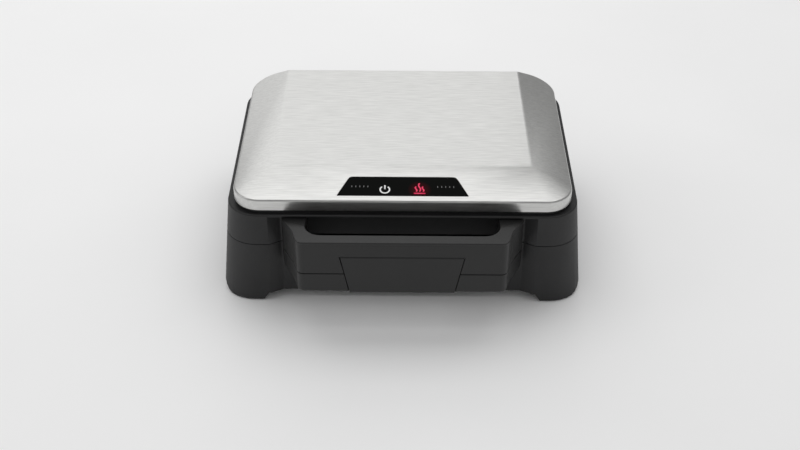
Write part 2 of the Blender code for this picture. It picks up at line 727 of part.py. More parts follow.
def flap_pocket():
    """Room for the flap in the front of both handle halves."""
    return flap_shape(FLAP_GAP, HANDLE_Y - CUT_OVERRUN, HANDLE_BOTTOM_Z - CUT_OVERRUN)


def latch_rod(reach, radius):
    """A rod on the latch axis that reaches as far to either side."""
    return rod((-reach, LATCH_Y, FLAP_AXIS_Z), (reach, LATCH_Y, FLAP_AXIS_Z), radius, SCREW_SIDES)


def handle_screw_bores(side):
    z = level(side, HANDLE_SCREW_RISE)
    end = RECESS_Y - HANDLE_SCREW_BITE - GAP
    start = RECESS_Y + CUT_OVERRUN
    return group([screw_hole((x, start, z), (x, end, z)) for x, _ in mirrored_x(HANDLE_SCREW_X)])


def make_upper_handle(axis):
    """Upper half of the loop, with a proud lip along its top and arms that dip under the rim."""
    low = level(1, GAP / 2)
    loop = prism(handle_outline(HANDLE_FACE_Y), low, HANDLE_TOP_Z - LIP_HEIGHT / 2)
    handle = piece("upper_handle", loop, BLACK_HANDLE, axis)
    lip = prism(handle_outline(HANDLE_Y), HANDLE_TOP_Z - LIP_HEIGHT, HANDLE_TOP_Z)
    combine(handle, "UNION", "lip", lip)
    start, end = HANDLE_Y + ARM_DIP_SETBACK, RECESS_Y + CUT_OVERRUN
    fall = ARM_DIP / (BODY_FRONT_Y - start)
    dip = [
        (start, HANDLE_TOP_Z), (end, HANDLE_TOP_Z - fall * (end - start)),
        (end, HANDLE_TOP_Z + CUT_OVERRUN), (start, HANDLE_TOP_Z + CUT_OVERRUN),
    ]
    half = HANDLE_ROOT_WIDTH / 2 + CUT_OVERRUN
    combine(handle, "DIFFERENCE", "arm_dip", prism(dip, -half, half, across="X"))
    combine(handle, "DIFFERENCE", "flap_pocket", flap_pocket())
    bore = latch_rod(LATCH_PIN_LENGTH / 2 + GAP, LATCH_PIN_RADIUS + GAP)
    combine(handle, "DIFFERENCE", "latch_bore", bore)
    combine(handle, "DIFFERENCE", "screw_bores", handle_screw_bores(1))


def make_lower_handle():
    """Lower half of the loop, rounded along its lower outer edge."""
    block = prism(handle_outline(HANDLE_FACE_Y), HANDLE_BOTTOM_Z, level(-1, GAP / 2))
    bevel_outer_edge(block, HANDLE_BOTTOM_Z, HANDLE_EDGE, front_of=RECESS_Y - RUNNING_GAP)
    handle = piece("lower_handle", block, BLACK_HANDLE)
    combine(handle, "DIFFERENCE", "flap_pocket", flap_pocket())
    combine(handle, "DIFFERENCE", "screw_bores", handle_screw_bores(-1))


def make_latch(lid_axis, latch_axis):
    """Flap that hangs on a steel pin in the upper handle and laps over the lower one."""
    shape = flap_shape(0, HANDLE_FACE_Y, HANDLE_BOTTOM_Z)
    flap = piece("latch_flap", shape, BLACK_HANDLE, latch_axis)
    bore = latch_rod(FLAP_TOP_WIDTH / 2 + CUT_OVERRUN, LATCH_PIN_RADIUS + GAP)
    combine(flap, "DIFFERENCE", "bore", bore)
    pin = latch_rod(LATCH_PIN_LENGTH / 2, LATCH_PIN_RADIUS)
    smooth(piece("latch_pin", pin, PLAIN_STEEL, lid_axis))


def pocket_cutter(x, side):
    """One sandwich pocket with drafted walls."""
    half_x, half_y = POCKET_WIDTH / 2, POCKET_DEPTH / 2
    face = level(side, PLATE_HALF_GAP - CUT_OVERRUN)
    floor = level(side, PLATE_HALF_GAP + POCKET_SINK)
    low, high = stacked(face, floor)
    mesh = box((x - half_x, MIDDLE_Y - half_y, low), (x + half_x, MIDDLE_Y + half_y, high))
    for vertex in mesh.vertices:
        if abs(vertex.co.z - floor) < GAP:
            vertex.co.x += math.copysign(POCKET_DRAFT, x - vertex.co.x)
            vertex.co.y += math.copysign(POCKET_DRAFT, MIDDLE_Y - vertex.co.y)
    return mesh


def ridge(x, side):
    """The ridge that runs corner to corner across a pocket and parts the sandwich."""
    base = PLATE_HALF_GAP + POCKET_SINK + PLATE_FLOOR / 2
    crest = PLATE_HALF_GAP + POCKET_SINK - RIDGE_HEIGHT
    outline = [(-RIDGE_WIDTH / 2, side * base), (RIDGE_WIDTH / 2, side * base), (0, side * crest)]
    half_length = math.hypot(POCKET_WIDTH, POCKET_DEPTH) / 2
    mesh = prism(outline, -half_length, half_length, across="X")
    angle = math.copysign(math.atan2(POCKET_DEPTH, POCKET_WIDTH), x)
    mesh.transform(Matrix.Translation((x, MIDDLE_Y, SEAM_Z)) @ Matrix.Rotation(angle, 4, "Z"))
    return mesh


def make_cooking_set(prefix, side, axis):
    """Plate, element, reflector tray and plate screws of one half, mirrored about the seam."""
    block = plate_block(0, *stacked(level(side, PLATE_HALF_GAP), level(side, PLATE_UNDERSIDE)))
    plate = piece(f"{prefix}_plate", block, PLATE_COATING, axis)
    face, underside = level(side, PLATE_HALF_GAP), level(side, FLANGE_UNDERSIDE)
    combine(plate, "UNION", "flange", plate_block(FLANGE_WIDTH, *stacked(face, underside)))
    centre = (POCKET_WIDTH + POCKET_SPACING) / 2
    pockets = group([pocket_cutter(x, side) for x, _ in mirrored_x(centre)])
    combine(plate, "DIFFERENCE", "pockets", pockets)
    combine(plate, "UNION", "ridges", group([ridge(x, side) for x, _ in mirrored_x(centre)]))
    top = DECK_FACE - GAP - SCREW_BITE
    near, far = level(side, top - GAP), level(side, DECK_BACK)
    bores = [screw_hole((x, y, near), (x, y, far)) for x, y in plate_screw_places()]
    combine(plate, "DIFFERENCE", "screw_bores", group(bores))
    seat, tip = level(side, DECK_BACK + GAP), level(side, top)
    for number, (x, y) in enumerate(plate_screw_places(), start=1):
        make_screw(f"{prefix}_plate_screw_{number}", (x, y, seat), (x, y, tip), axis)
    make_element(f"{prefix}_element", level(side, ELEMENT_LEVEL), axis)
    make_reflector(f"{prefix}_reflector", side, axis)


def make_screw(name, seat, tip, axis=None):
    """Pan-head screw whose head rests at seat and whose shank ends at tip."""
    seat, tip = Vector(seat), Vector(tip)
    into = (tip - seat).normalized()
    head = rod(seat - into * SCREW_HEAD_HEIGHT, seat, SCREW_HEAD_RADIUS, SCREW_SIDES)
    screw = piece(name, head, PLAIN_STEEL, axis)
    shank = rod(seat - into * (SCREW_HEAD_HEIGHT / 2), tip, SCREW_RADIUS, SCREW_SIDES)
    combine(screw, "UNION", "shank", shank)


def make_element(name, z, axis):
    """Sheathed heating tube, bent once into a long U whose ends face left."""
    radius = ELEMENT_SPREAD / 2
    end_x, bend_x = -ELEMENT_LENGTH / 2, ELEMENT_LENGTH / 2 - radius
    path = [(end_x, -radius)]
    for step in range(ELEMENT_BEND_STEPS + 1):
        angle = math.pi * (step / ELEMENT_BEND_STEPS - 0.5)
        path.append((bend_x + radius * math.cos(angle), radius * math.sin(angle)))
    path.append((end_x, radius))
    curve = bpy.data.curves.new(name, "CURVE")
    curve.dimensions = "3D"
    curve.bevel_depth = ELEMENT_RADIUS
    curve.bevel_resolution = 2
    curve.use_fill_caps = True
    spline = curve.splines.new("POLY")
    spline.points.add(len(path) - 1)
    for point, (x, y) in zip(spline.points, path):
        point.co = (x, MIDDLE_Y + y, z, 1)
    curve.materials.append(ELEMENT_SHEATH)
    tube = bpy.data.objects.new(name, curve)
    parts.objects.link(tube)
    if axis:
        tube.parent = axis
        tube.matrix_parent_inverse = Matrix.Translation(-axis.location)


def make_reflector(name, side, axis):
    """Open sheet tray round the element, its rim close to the plate's underside."""
    rim, back = level(side, PLATE_UNDERSIDE + GAP), level(side, REFLECTOR_LEVEL + SHEET)
    tray = piece(name, plate_block(-REFLECTOR_INSET, *stacked(rim, back)), REFLECTOR_TIN, axis)
    floor, open_end = level(side, REFLECTOR_LEVEL), level(side, PLATE_UNDERSIDE - CUT_OVERRUN)
    hollow = plate_block(-REFLECTOR_INSET - SHEET, *stacked(floor, open_end))
    combine(tray, "DIFFERENCE", "hollow", hollow)


def make_handle_screws():
    for prefix, side, axis in (("upper", 1, lid_axis), ("lower", -1, None)):
        z = level(side, HANDLE_SCREW_RISE)
        for x, hand in mirrored_x(HANDLE_SCREW_X):
            seat, tip = (x, RECESS_Y + WALL + GAP, z), (x, RECESS_Y - HANDLE_SCREW_BITE, z)
            make_screw(f"{prefix}_handle_screw_{hand}", seat, tip, axis)


def make_hinge_pins():
    reach = KNUCKLE_LENGTH / 2 + RUNNING_GAP + EAR_LENGTH
    for x, hand in mirrored_x(KNUCKLE_X):
        start, end = (x - reach, HINGE_Y, SEAM_Z), (x + reach, HINGE_Y, SEAM_Z)
        smooth(piece(f"hinge_pin_{hand}", rod(start, end, HINGE_PIN_RADIUS), PLAIN_STEEL))


def make_base_floor():
    """Vented cover screwed under the base."""
    top = BELLY_Z - GAP
    outline = rectangle(
        FLOOR_WIDTH, MIDDLE_Y - FLOOR_DEPTH / 2, MIDDLE_Y + FLOOR_DEPTH / 2, FLOOR_CORNER, steps=3
    )
    cover = piece("base_floor", prism(outline, top - FLOOR_THICKNESS, top), BLACK_BODY)
    low, high = top - FLOOR_THICKNESS - CUT_OVERRUN, top + CUT_OVERRUN
    vents = []
    for number in range(VENT_COUNT):
        y = MIDDLE_Y + (number - (VENT_COUNT - 1) / 2) * VENT_PITCH
        for x, _ in mirrored_x(VENT_LENGTH):
            vents.append(box(
                (x - VENT_LENGTH / 2, y - VENT_WIDTH / 2, low),
                (x + VENT_LENGTH / 2, y + VENT_WIDTH / 2, high),
            ))
    holes = [screw_hole((x, y, low), (x, y, high)) for x, y in floor_screw_places()]
    combine(cover, "DIFFERENCE", "vents_and_holes", group(vents + holes))
    seat = top - FLOOR_THICKNESS - GAP
    tip = BELLY_Z + WALL + FLOOR_SCREW_BITE - GAP
    for number, (x, y) in enumerate(floor_screw_places(), start=1):
        make_screw(f"floor_screw_{number}", (x, y, seat), (x, y, tip))


def make_pads():
    for number, (x, y) in enumerate(pad_places(), start=1):
        top = PAD_PROUD + PAD_SEAT - GAP
        smooth(piece(f"foot_pad_{number}", rod((x, y, 0), (x, y, top), PAD_RADIUS), PAD_RUBBER))


def make_electrics():
    """Thermostat and fuse on the back of the lower tray, terminal block and cord bush at the rear."""
    tray_back = level(-1, REFLECTOR_LEVEL + SHEET + GAP)
    thermostat = rod(
        (0, MIDDLE_Y, tray_back - THERMOSTAT_HEIGHT), (0, MIDDLE_Y, tray_back), THERMOSTAT_RADIUS
    )
    smooth(piece("thermostat", thermostat, PLAIN_STEEL))
    fuse_y, fuse_z = MIDDLE_Y + FUSE_OFFSET, tray_back - FUSE_RADIUS
    fuse = rod((-FUSE_LENGTH / 2, fuse_y, fuse_z), (FUSE_LENGTH / 2, fuse_y, fuse_z), FUSE_RADIUS)
    smooth(piece("thermal_fuse", fuse, CERAMIC))
    back, low = BODY_REAR_Y - WALL - TERMINAL_SETBACK, BELLY_Z + WALL + GAP
    block = box(
        (TERMINAL_X - TERMINAL_WIDTH / 2, back - TERMINAL_DEPTH, low),
        (TERMINAL_X + TERMINAL_WIDTH / 2, back, low + TERMINAL_HEIGHT),
    )
    piece("terminal_block", block, CERAMIC)
    face = BODY_REAR_Y + GAP
    flange = rod(
        (GLAND_X, face, GLAND_Z), (GLAND_X, face + GLAND_FLANGE_THICKNESS, GLAND_Z),
        GLAND_FLANGE_RADIUS,
    )
    gland = piece("cord_gland", flange, BLACK_BODY)
    neck_end = face - GLAND_DEPTH
    neck = rod(
        (GLAND_X, neck_end, GLAND_Z), (GLAND_X, face + GLAND_FLANGE_THICKNESS / 2, GLAND_Z),
        GLAND_RADIUS,
    )
    combine(gland, "UNION", "neck", neck)
    bore = rod(
        (GLAND_X, neck_end - CUT_OVERRUN, GLAND_Z),
        (GLAND_X, face + GLAND_FLANGE_THICKNESS + CUT_OVERRUN, GLAND_Z), GLAND_BORE,
    )
    combine(gland, "DIFFERENCE", "bore", bore)


lid_axis = joint_empty("lid_hinge_axis", (0, HINGE_Y, SEAM_Z))
latch_axis = joint_empty("latch_axis", (0, LATCH_Y, FLAP_AXIS_Z))
latch_axis.parent = lid_axis
latch_axis.matrix_parent_inverse = Matrix.Translation(-lid_axis.location)

make_base_housing()
make_lid_housing(lid_axis)
make_lid_cover(lid_axis)
make_panel(lid_axis)
make_upper_handle(lid_axis)
make_lower_handle()
make_latch(lid_axis, latch_axis)
make_cooking_set("upper", 1, lid_axis)
make_cooking_set("lower", -1, None)
make_handle_screws()
make_hinge_pins()
make_base_floor()
make_pads()
make_electrics()
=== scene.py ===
# %% [markdown]
# # A countertop sandwich maker
#
# The construction, with every part at its real size, is already there: it is loaded below as a fixed
# frame. This lesson dresses it. Each visible part gets softer edges, and each surface gets a finish
# that starts from what the real material is and how its surface was made.

# %% Load the frame
import json
import math

import bmesh
import bpy
from mathutils import Matrix, Vector

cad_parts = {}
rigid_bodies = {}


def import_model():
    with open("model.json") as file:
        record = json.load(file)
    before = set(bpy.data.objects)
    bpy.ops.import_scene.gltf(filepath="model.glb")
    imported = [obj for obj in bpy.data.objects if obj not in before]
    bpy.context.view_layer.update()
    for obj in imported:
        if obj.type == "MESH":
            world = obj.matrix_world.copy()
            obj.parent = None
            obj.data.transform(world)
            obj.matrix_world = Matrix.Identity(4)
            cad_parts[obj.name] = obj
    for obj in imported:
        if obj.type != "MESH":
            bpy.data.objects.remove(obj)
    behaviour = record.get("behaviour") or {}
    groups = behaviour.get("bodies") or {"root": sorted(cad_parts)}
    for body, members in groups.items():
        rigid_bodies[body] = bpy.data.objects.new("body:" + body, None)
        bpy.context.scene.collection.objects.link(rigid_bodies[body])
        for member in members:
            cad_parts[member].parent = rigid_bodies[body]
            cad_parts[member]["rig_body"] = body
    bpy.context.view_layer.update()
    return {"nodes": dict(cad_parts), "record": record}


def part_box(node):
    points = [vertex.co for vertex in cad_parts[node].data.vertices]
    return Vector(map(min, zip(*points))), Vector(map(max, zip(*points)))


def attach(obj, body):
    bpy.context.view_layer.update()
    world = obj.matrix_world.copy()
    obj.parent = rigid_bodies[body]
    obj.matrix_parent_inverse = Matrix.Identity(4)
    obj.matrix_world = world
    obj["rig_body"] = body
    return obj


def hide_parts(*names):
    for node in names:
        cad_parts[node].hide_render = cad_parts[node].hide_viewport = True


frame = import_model()
print("parts in the frame:", len(frame["nodes"]))

# %% [markdown]
# ## Places that everything else follows
#
# The frame tells where each part is, so no place is typed twice. The lid cover's lowest and highest
# corners give its front edge, its sides and its top. The facets fall from the top by a few
# millimetres, and the height that they reach at the front edge is kept as well.

# %% Read the main places
MM = 0.001
FACET_RISE = 8.5 * MM

cover_low, cover_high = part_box("lid_cover")
lid_front, lid_back = cover_low.y, cover_high.y
lid_half_width = cover_high.x
lid_top = cover_high.z
plate_edge = lid_top - FACET_RISE
print("lid", round(2 * lid_half_width / MM), "mm wide,", round((lid_back - lid_front) / MM), "mm deep")

# %% [markdown]
# ## The camera
#
# A product photograph like this one is taken from a little under a metre away, looking down. The
# angle was worked out from the lid: lines that run back into the picture meet at one point, and that
# point and the lid's known proportions give the height and the distance. The object stands a few
# pixels beside the middle of the picture, so the lens is shifted by as much.

# %% Place the camera
IMAGE_WIDTH = 800
CAMERA_LENS = 56.42
CAMERA_DISTANCE = 763.4 * MM
CAMERA_HEIGHT = 532.9 * MM
LOOK_DOWN = math.radians(36)
CAMERA_ROLL = math.radians(0.4)
OBJECT_OFFSET_PIXELS = 2.5

camera_data = bpy.data.cameras.new("camera")
camera_data.lens = CAMERA_LENS
camera_data.shift_x = -OBJECT_OFFSET_PIXELS / IMAGE_WIDTH
camera = bpy.data.objects.new("camera", camera_data)
bpy.context.scene.collection.objects.link(camera)
tilt = Matrix.Rotation(math.pi / 2 - LOOK_DOWN, 4, "X") @ Matrix.Rotation(CAMERA_ROLL, 4, "Z")
place = Matrix.Translation((0, lid_front - CAMERA_DISTANCE, plate_edge + CAMERA_HEIGHT))
camera.matrix_world = place @ tilt
bpy.context.scene.camera = camera
print("camera at", [round(value, 3) for value in camera.location])

# %% [markdown]
# ## Colours and nodes
#
# Colours are written as the sRGB codes that an eyedropper gives. Blender's shaders want linear light,
# so one function turns a code into linear values. A second one adds a shader node with its settings
# and its links, which keeps each material below down to a few lines.

# %% Two helpers for materials
def linear(code):
    """The linear RGBA value of an sRGB hex code."""
    channels = [int(code[place:place + 2], 16) / 255 for place in (1, 3, 5)]
    return (*[c / 12.92 if c <= 0.04045 else ((c + 0.055) / 1.055) ** 2.4 for c in channels], 1.0)


def add_node(tree, kind, inputs=None, **settings):
    """Adds a node, sets it up, and fills or links its inputs."""
    made = tree.nodes.new(kind)
    for name, value in settings.items():
        setattr(made, name, value)
    for name, value in (inputs or {}).items():
        socket = made.inputs[name]
        if isinstance(value, bpy.types.NodeSocket):
            tree.links.new(value, socket)
        else:
            socket.default_value = value
    return made


print("middle grey is", round(linear("#808080")[0], 3), "in linear light")

# %% [markdown]
# ## What every finish has
#
# A finish starts from one shader, with the values that are the same all over its surface. No real
# surface is quite even, so noise then varies it: one pattern tints it, and one changes its roughness
# and its height. Noise seldom leaves the middle of its range, so that part is spread over the tones.

# %% Three helpers for finishes
NOISE_LOW = 0.3
NOISE_HIGH = 0.7


def start_finish(name, **values):
    """A new material and its shader, with the values that are the same all over the surface."""
    finish = bpy.data.materials.new(name)
    finish.use_nodes = True
    shader = finish.node_tree.nodes["Principled BSDF"]
    for socket, value in values.items():
        shader.inputs[socket.replace("_", " ")].default_value = value
    return finish, finish.node_tree, shader


def grain(tree, size, stretch=(1, 1, 1), detail=2.0):
    """Noise whose lumps are about as large as size, in metres, longer along an axis by its stretch."""
    where = add_node(tree, "ShaderNodeTexCoord")
    scale = tuple(1 / (size * share) for share in stretch)
    spread = add_node(tree, "ShaderNodeMapping", {"Vector": where.outputs["Object"], "Scale": scale})
    noise = add_node(tree, "ShaderNodeTexNoise", {
        "Vector": spread.outputs["Vector"], "Scale": 1.0, "Detail": detail,
    })
    return noise.outputs["Fac"]


def vary_surface(tree, shader, tint, tones, relief, roughness, strength=0.0, depth=0.0):
    """One pattern tints the surface between two tones, and one varies its roughness and height."""
    ramp = add_node(tree, "ShaderNodeValToRGB", {"Fac": tint})
    for stop, share, tone in zip(ramp.color_ramp.elements, (NOISE_LOW, NOISE_HIGH), tones):
        stop.position = share
        stop.color = linear(tone)
    rough = add_node(tree, "ShaderNodeMapRange", {
        "Value": relief, "From Min": NOISE_LOW, "From Max": NOISE_HIGH,
        "To Min": roughness[0], "To Max": roughness[1],
    })
    tree.links.new(ramp.outputs["Color"], shader.inputs["Base Color"])
    tree.links.new(rough.outputs["Result"], shader.inputs["Roughness"])
    if depth:
        bump = add_node(tree, "ShaderNodeBump", {
            "Height": relief, "Strength": strength, "Distance": depth,
        })
        tree.links.new(bump.outputs["Normal"], shader.inputs["Normal"])


print("noise is used from", NOISE_LOW, "to", NOISE_HIGH)

# %% [markdown]
# ## Brushed stainless steel
#
# The lid is a pressing of stainless steel sheet that was brushed from side to side. Brushing leaves
# fine parallel scratches. They spread a reflection across the scratches and leave it sharp along
# them, which is what anisotropy is: the quarter turn makes the spread run across. Real scratches are
# about 0.1 mm wide and too fine to show here, so they are drawn 0.4 mm wide, with wider streaks
# between them where the brush pressed harder.

# %% Brushed stainless steel
SCRATCH_WIDTH = 0.4 * MM
SCRATCH_STRETCH = 35
SCRATCH_DEPTH = 0.03 * MM
SCRATCH_STRENGTH = 0.08
STREAK_WIDTH = 1.2 * MM
STREAK_STRETCH = 14
STEEL_TONES = ("#C6C6C4", "#E0E0DE")
STEEL_ROUGHNESS = (0.28, 0.34)
STEEL_SPREAD = 0.6
QUARTER_TURN = 0.25


def make_brushed_steel():
    finish, tree, shader = start_finish(
        "brushed_stainless_steel", Metallic=1.0, Anisotropic=STEEL_SPREAD,
        Anisotropic_Rotation=QUARTER_TURN,
    )
    scratches = grain(tree, SCRATCH_WIDTH, (SCRATCH_STRETCH, 1, 1), detail=3.0)
    streaks = grain(tree, STREAK_WIDTH, (STREAK_STRETCH, 1, 1))
    both = add_node(tree, "ShaderNodeMath", {0: scratches, 1: streaks}, operation="ADD")
    half = add_node(tree, "ShaderNodeMath", {0: both.outputs[0], 1: 0.5}, operation="MULTIPLY")
    vary_surface(
        tree, shader, half.outputs[0], STEEL_TONES, scratches, STEEL_ROUGHNESS,
        SCRATCH_STRENGTH, SCRATCH_DEPTH,
    )
    tangent = add_node(tree, "ShaderNodeTangent", direction_type="UV_MAP", uv_map="brushing")
    tree.links.new(tangent.outputs["Tangent"], shader.inputs["Tangent"])
    return finish


brushed_steel = make_brushed_steel()
print("finish:", brushed_steel.name)

# %% [markdown]
# ## Moulded plastics
#
# The housings are black ABS from a mould whose walls were spark eroded, which prints a fine grain on
# them: the surface is matt, and a highlight breaks up into tiny points. The handle takes the heat of
# the plates, so it is glass-filled nylon from a smoother mould, which gives it a deeper black and a
# silkier highlight. The real grain is about 0.1 mm and is drawn 0.5 mm wide, so that it shows.

# %% Matt and satin mouldings
MOULD_GRAIN = 0.5 * MM
MOULD_GRAIN_STRENGTH = 0.35
FLOW_CLOUD = 30 * MM
PLASTIC_IOR = 1.52


def make_moulding(name, tones, roughness, grain_depth):
    finish, tree, shader = start_finish(name, Metallic=0.0, IOR=PLASTIC_IOR)
    clouds = grain(tree, FLOW_CLOUD)
    points = grain(tree, MOULD_GRAIN, detail=3.0)
    vary_surface(
        tree, shader, clouds, tones, points, roughness, MOULD_GRAIN_STRENGTH, grain_depth
    )
    return finish


matt_abs = make_moulding("spark_eroded_black_abs", ("#161617", "#1B1B1C"), (0.5, 0.6), 0.05 * MM)
satin_nylon = make_moulding("glass_filled_nylon", ("#0D0D0D", "#111111"), (0.4, 0.5), 0.03 * MM)
print("finishes:", matt_abs.name, satin_nylon.name)

# %% [markdown]
# ## Coatings and metals
#
# The plates are cast aluminium under a non-stick coat, the screws and pins are zinc plated, the trays
# behind the heating tubes are aluminised sheet, and the tubes have a steel sheath. Each has one
# pattern, which changes its colour and its roughness together, because the same cause changes both.

# %% Coatings and metals
LUMP_STRENGTH = 0.4


def make_mottled(name, tones, size, roughness, stretch=(1, 1, 1), depth=0.0, **values):
    """A finish whose colour and roughness vary a little over lumps of one size."""
    finish, tree, shader = start_finish(name, **values)
    lumps = grain(tree, size, stretch, detail=4.0)
    vary_surface(tree, shader, lumps, tones, lumps, roughness, LUMP_STRENGTH, depth)
    return finish


# A sprayed and baked coat: fine speckles in a dull black skin that glints softly.
non_stick = make_mottled(
    "non_stick_coating", ("#2A2B2C", "#3A3B3C"), 0.8 * MM, (0.3, 0.42), depth=0.04 * MM,
    Coat_Weight=0.4, Coat_Roughness=0.2,
)
# A plated and rinsed screw: a cool shine with faint clouds.
zinc_plate = make_mottled(
    "zinc_plated_steel", ("#B9BBBD", "#D2D3D2"), 1.5 * MM, (0.25, 0.4), Metallic=1.0
)
# A rolled sheet dipped in aluminium: a pale mirror with soft streaks along the rolling.
aluminised = make_mottled(
    "aluminised_sheet", ("#C9C9C8", "#DEDEDC"), 6 * MM, (0.22, 0.34), (4, 1, 1), Metallic=1.0
)
# A drawn tube that has glowed: brown and grey tints in patches, and little shine left.
hot_sheath = make_mottled(
    "heat_tinted_sheath", ("#4A423C", "#6E655C"), 5 * MM, (0.4, 0.6), Metallic=1.0
)
print("finishes:", non_stick.name, zinc_plate.name, aluminised.name, hot_sheath.name)

# %% [markdown]
# ## Rubber, ceramic, board and lights
#
# These parts are small, and they show only from below or with the part taken apart. Their grain is
# finer than 0.1 mm in reality and is drawn 0.6 to 2 mm wide, so that it shows.

# %% Rubber, ceramic, board and lights
# Moulded rubber: so rough that it has hardly any highlight.
silicone = make_mottled(
    "silicone_rubber", ("#161616", "#1F1F1F"), 1 * MM, (0.75, 0.9), depth=0.05 * MM
)
# Pressed and fired powder: an ivory white with a dry, sandy surface.
steatite = make_mottled(
    "steatite_ceramic", ("#DAD6CA", "#E8E4DA"), 2 * MM, (0.45, 0.6), depth=0.03 * MM
)
# Glass cloth pressed in green resin: the weave shows as a fine change of tone.
laminate = make_mottled("green_board_laminate", ("#0F3B22", "#174F2E"), 0.6 * MM, (0.4, 0.5))
# Cast resin: smooth and glossy, one kind dyed red and one milky.
red_resin = make_mottled("red_led_resin", ("#8E0A12", "#A51019"), 1 * MM, (0.15, 0.2))
clear_resin = make_mottled("white_led_resin", ("#D8D8D4", "#E8E8E4"), 1 * MM, (0.15, 0.2))
print("finishes:", silicone.name, steatite.name, laminate.name, red_resin.name, clear_resin.name)

# %% [markdown]
# ## Working on copies
#
# The frame's own meshes stay as they are. A part that should look better than its plain solid is
# copied: the copy's loose triangles are merged at their corners, and the triangles of each flat area
# become one face again, which leaves only the real edges to work on.

# %% Copy a part
FLAT_TURN = math.radians(0.4)
MERGE = 0.002 * MM


def merged_copy(name):
    """A bmesh of a frame part, with shared corners and whole flat faces."""
    shape = bmesh.new()
    shape.from_mesh(frame["nodes"][name].data)
    bmesh.ops.remove_doubles(shape, verts=shape.verts, dist=MERGE)
    bmesh.ops.dissolve_limit(
        shape, angle_limit=FLAT_TURN, use_dissolve_boundaries=False,
        verts=shape.verts, edges=shape.edges,
    )
    return shape


def new_piece(name, shape, finish):
    """Turns a bmesh into an object with a finish."""
    mesh = bpy.data.meshes.new(name)
    shape.to_mesh(mesh)
    shape.free()
    mesh.materials.append(finish)
    made = bpy.data.objects.new(name, mesh)
    bpy.context.scene.collection.objects.link(made)
    return made


triangles = max(len(part.data.polygons) for part in frame["nodes"].values())
print("the largest part has", triangles, "triangles")

# %% [markdown]
# ## Rounding the edges
#
# No moulded or pressed edge is perfectly sharp, and the light catches it as a thin line. So the edges
# that stick out get a bevel weight, and a Bevel modifier rounds those alone. The steps inside a round
# surface turn only a little and are shaded smooth. What is left, inner corners and slight creases,
# stays sharp.

# %% Round the edges
OUTER_TURN = math.radians(30)
CREASE_TURN = math.radians(22)
EDGE_STEPS = 2


def sort_edges(shape):
    """Gives a bevel weight to the edges that stick out, and marks the other creases as sharp."""
    weight = shape.edges.layers.float.new("bevel_weight_edge")
    for edge in shape.edges:
        turn = edge.calc_face_angle_signed(0)
        if turn > OUTER_TURN:
            edge[weight] = 1.0
        else:
            edge.smooth = abs(turn) < CREASE_TURN


def shade_by_area(piece):
    """Lets the large faces lead the shading, so that they stay flat to the light."""
    shading = piece.modifiers.new("shading", "WEIGHTED_NORMAL")
    shading.keep_sharp = True


def soften(piece, width, steps=EDGE_STEPS, turn=None):
    """Rounds the edges that have a bevel weight, or else every edge that turns more than an angle."""
    edges = piece.modifiers.new("edges", "BEVEL")
    edges.width = width
    edges.segments = steps
    edges.limit_method = "ANGLE" if turn else "WEIGHT"
    edges.angle_limit = turn or OUTER_TURN
    edges.use_clamp_overlap = False
    edges.miter_outer = "MITER_ARC"
    piece.data.shade_smooth()
    shade_by_area(piece)


print("edges are rounded in", EDGE_STEPS, "steps")

# %% [markdown]
# ## Taking a part's place
#
# A finished piece moves with the same body as the part that it stands for, so the lid's pieces open
# with the lid, and the part itself is hidden. The record names each real part's material slot.

# %% Put a piece in a part's place
dressed = {}


def stand_for(piece, body, *nodes, slot=None):
    """The piece moves with a body and is shown in place of some frame parts."""
    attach(piece, body)
    if nodes:
        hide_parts(*nodes)
    for name in nodes:
        dressed[name] = piece.name
    return piece


def slot_of(name):
    """The material slot that the record gives a part."""
    return next(row["material_slot"] for row in frame["record"]["subparts"] if row["node"] == name)


def softened_part(name, finish, width):
    """A rounded copy of a frame part, which is shown in its place."""
    shape = merged_copy(name)
    sort_edges(shape)
    piece = new_piece(f"{name}_shell", shape, finish)
    soften(piece, width)
    return stand_for(piece, frame["nodes"][name]["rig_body"], name, slot=slot_of(name))


# %% [markdown]
# ## The lid cover's outlines
#
# Seen from above, the real cover is a rectangle with round corners, and the window for the control
# panel is a trapezoid with smaller ones. Both are drawn in the same way: four corners, one face, and
# a bevel of its own at each corner.

# %% Draw the outlines
LID_CORNER = 21 * MM
CORNER_STEPS = 20
WINDOW_FRONT = 5.0 * MM
WINDOW_BACK = 24.2 * MM
WINDOW_FRONT_HALF_WIDTH = 49.5 * MM
WINDOW_BACK_HALF_WIDTH = 40.3 * MM
WINDOW_FRONT_CORNER = 0.6 * MM
WINDOW_BACK_CORNER = 3.0 * MM


def plan(corners, z):
    """A flat face whose corners (x, y, radius) are rounded by bevelling each of them."""
    shape = bmesh.new()
    verts = [shape.verts.new((x, y, z)) for x, y, radius in corners]
    shape.faces.new(verts)
    for vert, (x, y, radius) in zip(verts, corners):
        bmesh.ops.bevel(
            shape, geom=[vert], offset=radius, segments=CORNER_STEPS, profile=0.5,
            affect="VERTICES", material=-1,
        )
    return shape


def with_mirror_image(front, back):
    """Four corners, from the right front and right back ones (x, y, radius)."""
    left = [(-x, y, radius) for x, y, radius in (front, back)]
    return [left[0], front, back, left[1]]


cover_corners = with_mirror_image(
    (lid_half_width, lid_front, LID_CORNER), (lid_half_width, lid_back, LID_CORNER)
)
window_corners = with_mirror_image(
    (WINDOW_FRONT_HALF_WIDTH, lid_front + WINDOW_FRONT, WINDOW_FRONT_CORNER),
    (WINDOW_BACK_HALF_WIDTH, lid_front + WINDOW_BACK, WINDOW_BACK_CORNER),
)
print("window:", round((WINDOW_BACK - WINDOW_FRONT) / MM, 1), "mm deep")

